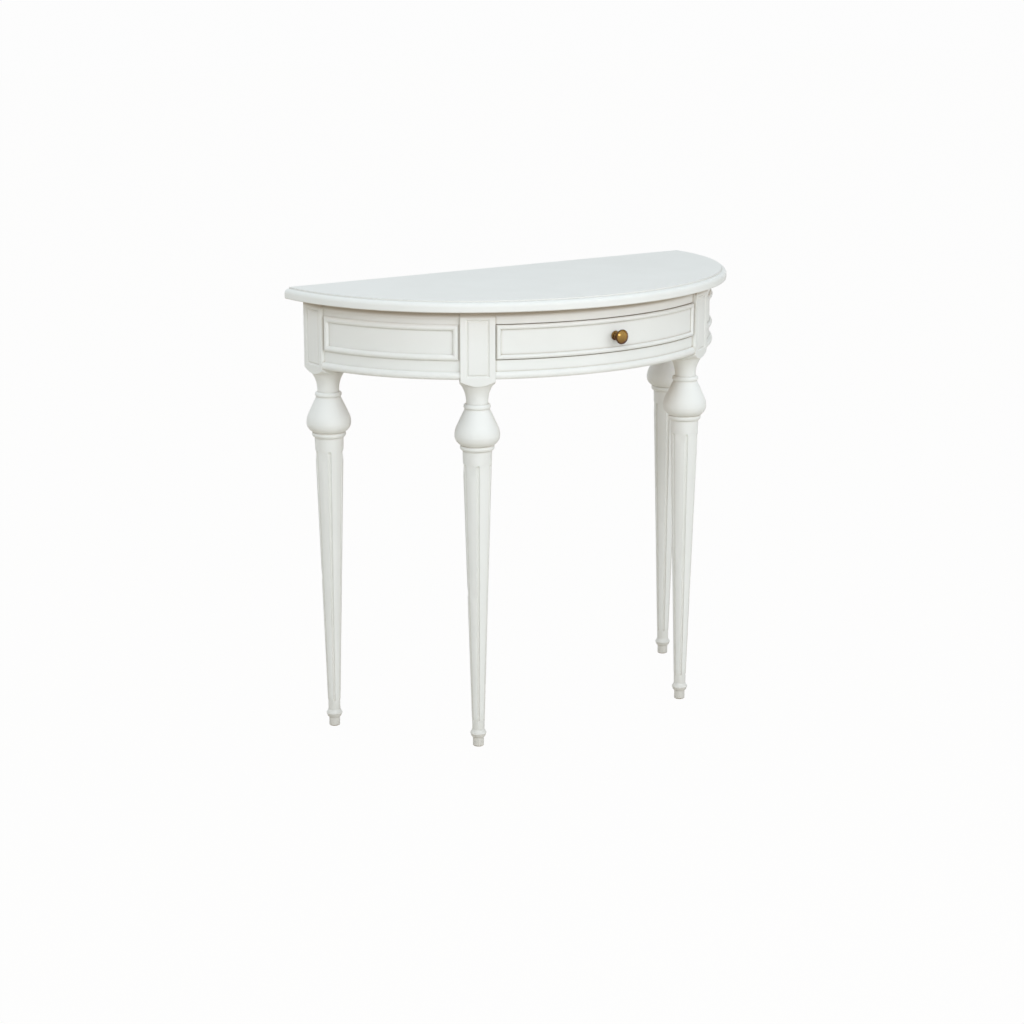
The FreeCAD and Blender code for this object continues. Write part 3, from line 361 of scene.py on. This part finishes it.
def painted_wood(settings, name, stroke, dust_and_shade_share=PLAIN_DUST_AND_SHADE, at_floor=None, shadow_under_lip=True, centre=None,
                 facing=None):
    """Satin alkyd paint brushed on softwood: soft brush marks and a faint change of tone. A brown mix of dust
    and painted shade darkens the quirks and the gaps round the drawer, painted shade darkens the feet towards
    the floor, and a painted shadow lies close under the top. Faces that look inwards, where a centre or a
    facing is given, are left as sanded wood."""
    material, sheet = new_material(name)
    coords = sheet.add("ShaderNodeTexCoord")
    place = coords.outputs["Object"]
    marks = sheet.add("ShaderNodeMapping", _0=place, Scale=stroke)
    strokes = sheet.add("ShaderNodeTexNoise", Vector=marks.outputs[0], Scale=1 / settings.brush_width,
                        Detail=3.0, Roughness=0.6)
    patches = sheet.add("ShaderNodeTexNoise", Vector=place,
                        Scale=1 / (MARKS_PER_PATCH * settings.brush_width), Detail=2.0)
    tone = sheet.add("ShaderNodeMix", {"data_type": "RGBA"}, _0=patches.outputs[0],
                     _6=with_alpha(settings.paint), _7=with_alpha(settings.paint_worn))
    # Paint darkened by the brown of dust and painted shade
    paint_with_dust_and_shade = sheet.add("ShaderNodeMix", {"data_type": "RGBA"},
                      _0=dust_and_painted_shade(sheet, settings, coords, dust_and_shade_share, at_floor, shadow_under_lip),
                      _6=tone.outputs[2], _7=with_alpha(settings.dust_and_shade))
    smooth, rough = PAINT_GLOSS
    gloss = sheet.add("ShaderNodeMapRange", Value=strokes.outputs[0], To_Min=smooth, To_Max=rough)
    colour, roughness = paint_with_dust_and_shade.outputs[2], gloss.outputs[0]
    if centre or facing:
        bare = inner_face(sheet, coords, centre, facing)
        wood = wood_grain(sheet, settings, place, (ALONG_GRAIN, ALONG_GRAIN, 1.0))[0]
        colour = sheet.add("ShaderNodeMix", {"data_type": "RGBA"}, _0=bare, _6=colour, _7=wood).outputs[2]
        roughness = sheet.add("ShaderNodeMapRange", Value=bare, To_Min=roughness,
                              To_Max=WOOD_ROUGHNESS).outputs[0]
    bump = sheet.add("ShaderNodeBump", Strength=PAINT_RELIEF, Distance=RELIEF_DEPTH,
                     Height=strokes.outputs[0])
    shader = sheet.add("ShaderNodeBsdfPrincipled", Base_Color=colour, Roughness=roughness, IOR=PAINT_IOR,
                       Normal=bump.outputs[0])
    sheet.add("ShaderNodeOutputMaterial", Surface=shader.outputs[0])
    return material


def bare_wood(settings, name, along):
    """Sanded softwood: pale and darker growth rings, drawn out along the piece, with little shine."""
    material, sheet = new_material(name)
    place = sheet.add("ShaderNodeTexCoord").outputs["Object"]
    squeeze = tuple(ALONG_GRAIN if axis == along else 1.0 for axis in range(3))
    tone, height = wood_grain(sheet, settings, place, squeeze)
    bump = sheet.add("ShaderNodeBump", Strength=WOOD_RELIEF, Distance=RELIEF_DEPTH, Height=height)
    shader = sheet.add("ShaderNodeBsdfPrincipled", Base_Color=tone, Roughness=WOOD_ROUGHNESS, IOR=WOOD_IOR,
                       Normal=bump.outputs[0])
    sheet.add("ShaderNodeOutputMaterial", Surface=shader.outputs[0])
    return material


def aged_brass(settings):
    """Turned and lacquered brass, rubbed bright on the crown, with brown tarnish on the neck and in patches,
    and brown painted shade round the rim and on the lower side. The lacquer gives the highlight a paler core."""
    material, sheet = new_material("aged_brass")
    place = sheet.add("ShaderNodeTexCoord").outputs["Object"]
    low, high = (Vector(corner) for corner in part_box("drawer_knob"))
    from_axis = sheet.add("ShaderNodeVectorMath", {"operation": "MULTIPLY_ADD"}, _0=place, _1=(1, 0, 1),
                          _2=(-(low.x + high.x) / 2, 0, -(low.z + high.z) / 2))
    out = sheet.add("ShaderNodeVectorMath", {"operation": "LENGTH"}, _0=from_axis.outputs[0])
    patches = sheet.add("ShaderNodeTexNoise", Vector=place, Scale=1 / TARNISH_PATCH, Detail=3.0)
    rim_radius = max(radius for radius, reach in KNOB_RINGS) * MILLIMETRE
    # Painted shade round the rim
    rim = sheet.add("ShaderNodeMapRange", Value=out.outputs["Value"], From_Min=RIM_START * rim_radius,
                    From_Max=rim_radius)
    spot = sheet.add("ShaderNodeSeparateXYZ", Vector=place)
    neck_end = high.y - NECK_REACH
    neck = sheet.add("ShaderNodeMapRange", Value=spot.outputs["Y"], From_Min=neck_end - NECK_FADE,
                     From_Max=neck_end, To_Max=NECK_TARNISH)
    # Painted shade, darker towards the lower side
    under = sheet.add("ShaderNodeMapRange", Value=spot.outputs["Z"], From_Min=high.z - LOWER_SIDE_START,
                      From_Max=low.z, To_Max=LOWER_SIDE_SHADE)
    brown = sheet.add("ShaderNodeMath", {"operation": "MAXIMUM"}, _0=rim.outputs[0], _1=neck.outputs[0])
    lower = sheet.add("ShaderNodeMath", {"operation": "ADD"}, _0=brown.outputs[0], _1=under.outputs[0])
    mottled = sheet.add("ShaderNodeMath", {"operation": "MULTIPLY_ADD"}, _0=patches.outputs[0],
                        _1=PATCH_SHARE, _2=lower.outputs[0])
    begins, full = TARNISH_AND_SHADE_CONTRAST
    spread = sheet.add("ShaderNodeMapRange", Value=mottled.outputs[0], From_Min=begins, From_Max=full)
    tone = sheet.add("ShaderNodeMix", {"data_type": "RGBA"}, _0=spread.outputs[0],
                     _6=with_alpha(settings.brass), _7=with_alpha(settings.tarnish_and_shade))
    smooth, rough = BRASS_GLOSS
    gloss = sheet.add("ShaderNodeMapRange", Value=patches.outputs[0], To_Min=smooth, To_Max=rough)
    shader = sheet.add("ShaderNodeBsdfPrincipled", Base_Color=tone.outputs[2], Metallic=1.0,
                       Roughness=gloss.outputs[0], Specular_Tint=with_alpha(settings.brass_edge),
                       Coat_Weight=LACQUER, Coat_Roughness=LACQUER_ROUGHNESS)
    sheet.add("ShaderNodeOutputMaterial", Surface=shader.outputs[0])
    return material


def screw_steel(settings):
    """Zinc-plated screw steel: a grey metal whose fine turning marks break up its shine."""
    material, sheet = new_material("screw_steel")
    place = sheet.add("ShaderNodeTexCoord").outputs["Object"]
    marks = sheet.add("ShaderNodeTexNoise", Vector=place, Scale=1 / TURNING_MARK, Detail=2.0)
    smooth, rough = STEEL_GLOSS
    gloss = sheet.add("ShaderNodeMapRange", Value=marks.outputs[0], To_Min=smooth, To_Max=rough)
    shader = sheet.add("ShaderNodeBsdfPrincipled", Base_Color=with_alpha(settings.steel), Metallic=1.0,
                       Roughness=gloss.outputs[0])
    sheet.add("ShaderNodeOutputMaterial", Surface=shader.outputs[0])
    return material


def dress(nodes, material):
    """Give CAD nodes one finish."""
    for name in nodes:
        mesh = frame["nodes"][name].data
        mesh.materials.clear()
        mesh.materials.append(material)


class TABLE_OT_paint(Operator):
    """Paint the top, legs, aprons, mouldings and drawer front"""
    bl_idname = "demilune.paint"
    bl_label = "Paint the table"

    def execute(self, context):
        settings = context.scene.demilune_finish
        legs = [name for name in PAINTED if name.startswith("leg_")]
        dress(legs, painted_wood(settings, "satin_paint_upright", UPRIGHT_STROKE, dust_and_shade_share=LEG_DUST_AND_SHADE,
                                 at_floor=FLOOR_DUST_AND_SHADE))
        # All level pieces first, then those that have bare faces or more dust and painted shade
        level = [name for name in PAINTED if name not in legs]
        dress(level, painted_wood(settings, "satin_paint_level", LEVEL_STROKE))
        dress(["table_top"], painted_wood(settings, "satin_paint_top", LEVEL_STROKE, shadow_under_lip=False,
                                          facing=DOWN))
        dress(["front_upper_rail", "front_lower_rail", "drawer_front"],
              painted_wood(settings, "satin_paint_front", LEVEL_STROKE, dust_and_shade_share=DRAWER_DUST_AND_SHADE,
                           centre=FRONT_CENTRE))
        dress(["drawer_bead_top", "drawer_bead_bottom"],
              painted_wood(settings, "satin_paint_drawer_edge", LEVEL_STROKE, dust_and_shade_share=DRAWER_DUST_AND_SHADE))
        dress(["back_rail"], painted_wood(settings, "satin_paint_back", LEVEL_STROKE, facing=FORWARD))
        for side, sign in (("left", -1), ("right", 1)):
            centre = (sign * SIDE_CENTRE_X, SIDE_CENTRE_Y, 0)
            dress([f"apron_{side}"],
                  painted_wood(settings, f"satin_paint_{side}", LEVEL_STROKE, centre=centre))
        return {"FINISHED"}


class TABLE_OT_bare_wood(Operator):
    """Leave the drawer box and the pieces inside the table as bare wood"""
    bl_idname = "demilune.bare_wood"
    bl_label = "Finish the bare wood"

    def execute(self, context):
        settings = context.scene.demilune_finish
        lengthwise = bare_wood(settings, "sanded_pine_lengthwise", 1)
        crosswise = bare_wood(settings, "sanded_pine_crosswise", 0)
        across = [name for name in BARE if name in ("drawer_back", "drawer_bottom") or "stop" in name]
        dress(across, crosswise)
        dress([name for name in BARE if name not in across], lengthwise)
        return {"FINISHED"}


class TABLE_OT_knob(Operator):
    """Turn the brass knob: a rose, a waisted neck, a rounded rim and a low domed face"""
    bl_idname = "demilune.knob"
    bl_label = "Turn the knob"

    def execute(self, context):
        low, high = (Vector(corner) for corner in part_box("drawer_knob"))
        centre = Vector(((low.x + high.x) / 2, high.y, (low.z + high.z) / 2))
        radius, reach = KNOB_RINGS[0]
        bpy.ops.object.select_all(action="DESELECT")
        bpy.ops.mesh.primitive_circle_add(
            vertices=KNOB_SIDES, radius=radius * MILLIMETRE, fill_type="NGON", location=centre,
            rotation=(math.radians(90), 0, 0))
        knob = context.object
        knob.name = "brass_knob"
        bpy.ops.object.mode_set(mode="EDIT")
        for next_radius, next_reach in KNOB_RINGS[1:]:
            step = (0, (reach - next_reach) * MILLIMETRE, 0)
            bpy.ops.mesh.extrude_region_move(TRANSFORM_OT_translate={"value": step})
            share = next_radius / radius
            bpy.ops.transform.resize(value=(share, 1, share), center_override=centre)
            radius, reach = next_radius, next_reach
        # Close the flat back that sits on the drawer
        bpy.ops.mesh.select_all(action="DESELECT")
        bpy.ops.mesh.select_non_manifold()
        bpy.ops.mesh.edge_face_add()
        bpy.ops.mesh.select_all(action="SELECT")
        bpy.ops.mesh.normals_make_consistent(inside=False)
        bpy.ops.object.mode_set(mode="OBJECT")
        bpy.ops.object.transform_apply(location=True, rotation=True, scale=True)
        bpy.ops.object.shade_smooth_by_angle(angle=KNOB_SMOOTH_ANGLE)
        knob.data.materials.append(aged_brass(context.scene.demilune_finish))
        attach(knob, "drawer")
        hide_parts("drawer_knob")
        return {"FINISHED"}


class TABLE_OT_screws(Operator):
    """Finish the screws in steel"""
    bl_idname = "demilune.screws"
    bl_label = "Finish the screws"

    def execute(self, context):
        dress(["knob_screw", "top_screws"], screw_steel(context.scene.demilune_finish))
        return {"FINISHED"}


class TABLE_OT_stage(Operator):
    """Set the floor, the light and the camera"""
    bl_idname = "demilune.stage"
    bl_label = "Set the stage"

    def execute(self, context):
        stage = context.scene.demilune_stage
        context.scene.view_settings.view_transform = "Standard"
        self.add_floor(stage)
        self.light_world(context.scene, stage)
        self.add_lights(stage)
        self.add_camera(context.scene, stage)
        return {"FINISHED"}

    def seen_white(self, sheet):
        """One for rays that see the backdrop: from the camera, a reflection or through glass."""
        path = sheet.add("ShaderNodeLightPath")
        some = sheet.add("ShaderNodeMath", {"operation": "MAXIMUM"}, _0=path.outputs["Is Camera Ray"],
                         _1=path.outputs["Is Glossy Ray"])
        return sheet.add("ShaderNodeMath", {"operation": "MAXIMUM"}, _0=some.outputs[0],
                         _1=path.outputs["Is Transmission Ray"]).outputs[0]

    def add_floor(self, stage):
        """Matt pale floor that is seen as near white, so that the table's shadow stays faint."""
        bpy.ops.object.select_all(action="DESELECT")
        bpy.ops.mesh.primitive_plane_add(size=stage.floor_size)
        floor = bpy.context.object
        floor.name = "floor"
        material, sheet = new_material("pale_floor")
        white = sheet.add("ShaderNodeEmission", Color=WHITE, Strength=1.0)
        matt = sheet.add("ShaderNodeBsdfDiffuse", Color=with_alpha(stage.floor_tint))
        share = sheet.add("ShaderNodeMath", {"operation": "MULTIPLY"}, _0=self.seen_white(sheet),
                          _1=stage.floor_white)
        mixed = sheet.add("ShaderNodeMixShader", _0=share.outputs[0], _1=matt.outputs[0], _2=white.outputs[0])
        sheet.add("ShaderNodeOutputMaterial", Surface=mixed.outputs[0])
        floor.data.materials.append(material)

    def light_world(self, scene, stage):
        """Soft light that grows from the horizon upwards, with a white backdrop for what is seen."""
        world = bpy.data.worlds.new("soft_room")
        scene.world = world
        world.use_nodes = True
        sheet = NodeSheet(world.node_tree)
        way = sheet.add("ShaderNodeTexCoord").outputs["Generated"]
        height = sheet.add("ShaderNodeSeparateXYZ", Vector=way).outputs["Z"]
        strength = sheet.add("ShaderNodeMapRange", Value=height, To_Min=stage.sky_low, To_Max=stage.sky_high)
        room = sheet.add("ShaderNodeBackground", Color=with_alpha(stage.sky_tint),
                         Strength=strength.outputs[0])
        white = sheet.add("ShaderNodeBackground", Color=WHITE, Strength=stage.backdrop)
        mixed = sheet.add("ShaderNodeMixShader", _0=self.seen_white(sheet), _1=room.outputs[0],
                          _2=white.outputs[0])
        sheet.add("ShaderNodeOutputWorld", Surface=mixed.outputs[0])

    def add_lamp(self, stage, name, place, size, power, mirrored=False):
        """Soft rectangular lamp that faces the aim. Only a mirrored one shows in reflections."""
        lamp = bpy.data.lights.new(name, "AREA")
        lamp.energy = power
        lamp.color = stage.lamp_tint
        lamp.shape = "RECTANGLE"
        lamp.size, lamp.size_y = size
        holder = bpy.data.objects.new(name, lamp)
        holder.location = place
        holder.visible_glossy = mirrored
        aim = Vector(stage.aim) - holder.location
        holder.rotation_euler = aim.to_track_quat("-Z", "Y").to_euler()
        bpy.context.scene.collection.objects.link(holder)

    def add_lights(self, stage):
        self.add_lamp(stage, "key_light", stage.key_place, stage.key_size, stage.key_power)
        # Gives the knob its highlight
        self.add_lamp(stage, "side_fill", stage.side_place, stage.side_size, stage.side_power, mirrored=True)
        self.add_lamp(stage, "back_fill", stage.back_place, stage.back_size, stage.back_power)

    def add_camera(self, scene, stage):
        lens = bpy.data.cameras.new("camera")
        lens.sensor_fit = "HORIZONTAL"
        lens.sensor_width = SENSOR_MM
        lens.lens = stage.focal_px / PHOTO_SIDE_PX * SENSOR_MM
        lens.clip_end = stage.floor_size
        camera = bpy.data.objects.new("camera", lens)
        camera.location = stage.camera_place
        camera.rotation_euler = (math.radians(90) - stage.camera_pitch, 0, -stage.camera_yaw)
        scene.collection.objects.link(camera)
        scene.camera = camera


class TABLE_PT_sidebar(Panel):
    """Lists the steps that dress the table"""
    bl_idname = "TABLE_PT_sidebar"
    bl_label = "Demilune Table"
    bl_space_type = "VIEW_3D"
    bl_region_type = "UI"
    bl_category = "Demilune Table"

    def draw(self, context):
        for step in STEPS:
            self.layout.operator(step.bl_idname)


STEPS = (TABLE_OT_paint, TABLE_OT_bare_wood, TABLE_OT_knob, TABLE_OT_screws, TABLE_OT_stage)
CLASSES = (FinishSettings, StageSettings, *STEPS, TABLE_PT_sidebar)


def register():
    for each in CLASSES:
        bpy.utils.register_class(each)
    bpy.types.Scene.demilune_finish = PointerProperty(type=FinishSettings)
    bpy.types.Scene.demilune_stage = PointerProperty(type=StageSettings)


def unregister():
    del bpy.types.Scene.demilune_stage
    del bpy.types.Scene.demilune_finish
    for each in reversed(CLASSES):
        bpy.utils.unregister_class(each)


def main():
    register()
    bpy.ops.demilune.paint()
    bpy.ops.demilune.bare_wood()
    bpy.ops.demilune.knob()
    bpy.ops.demilune.screws()
    bpy.ops.demilune.stage()


if __name__ == "__main__":
    main()
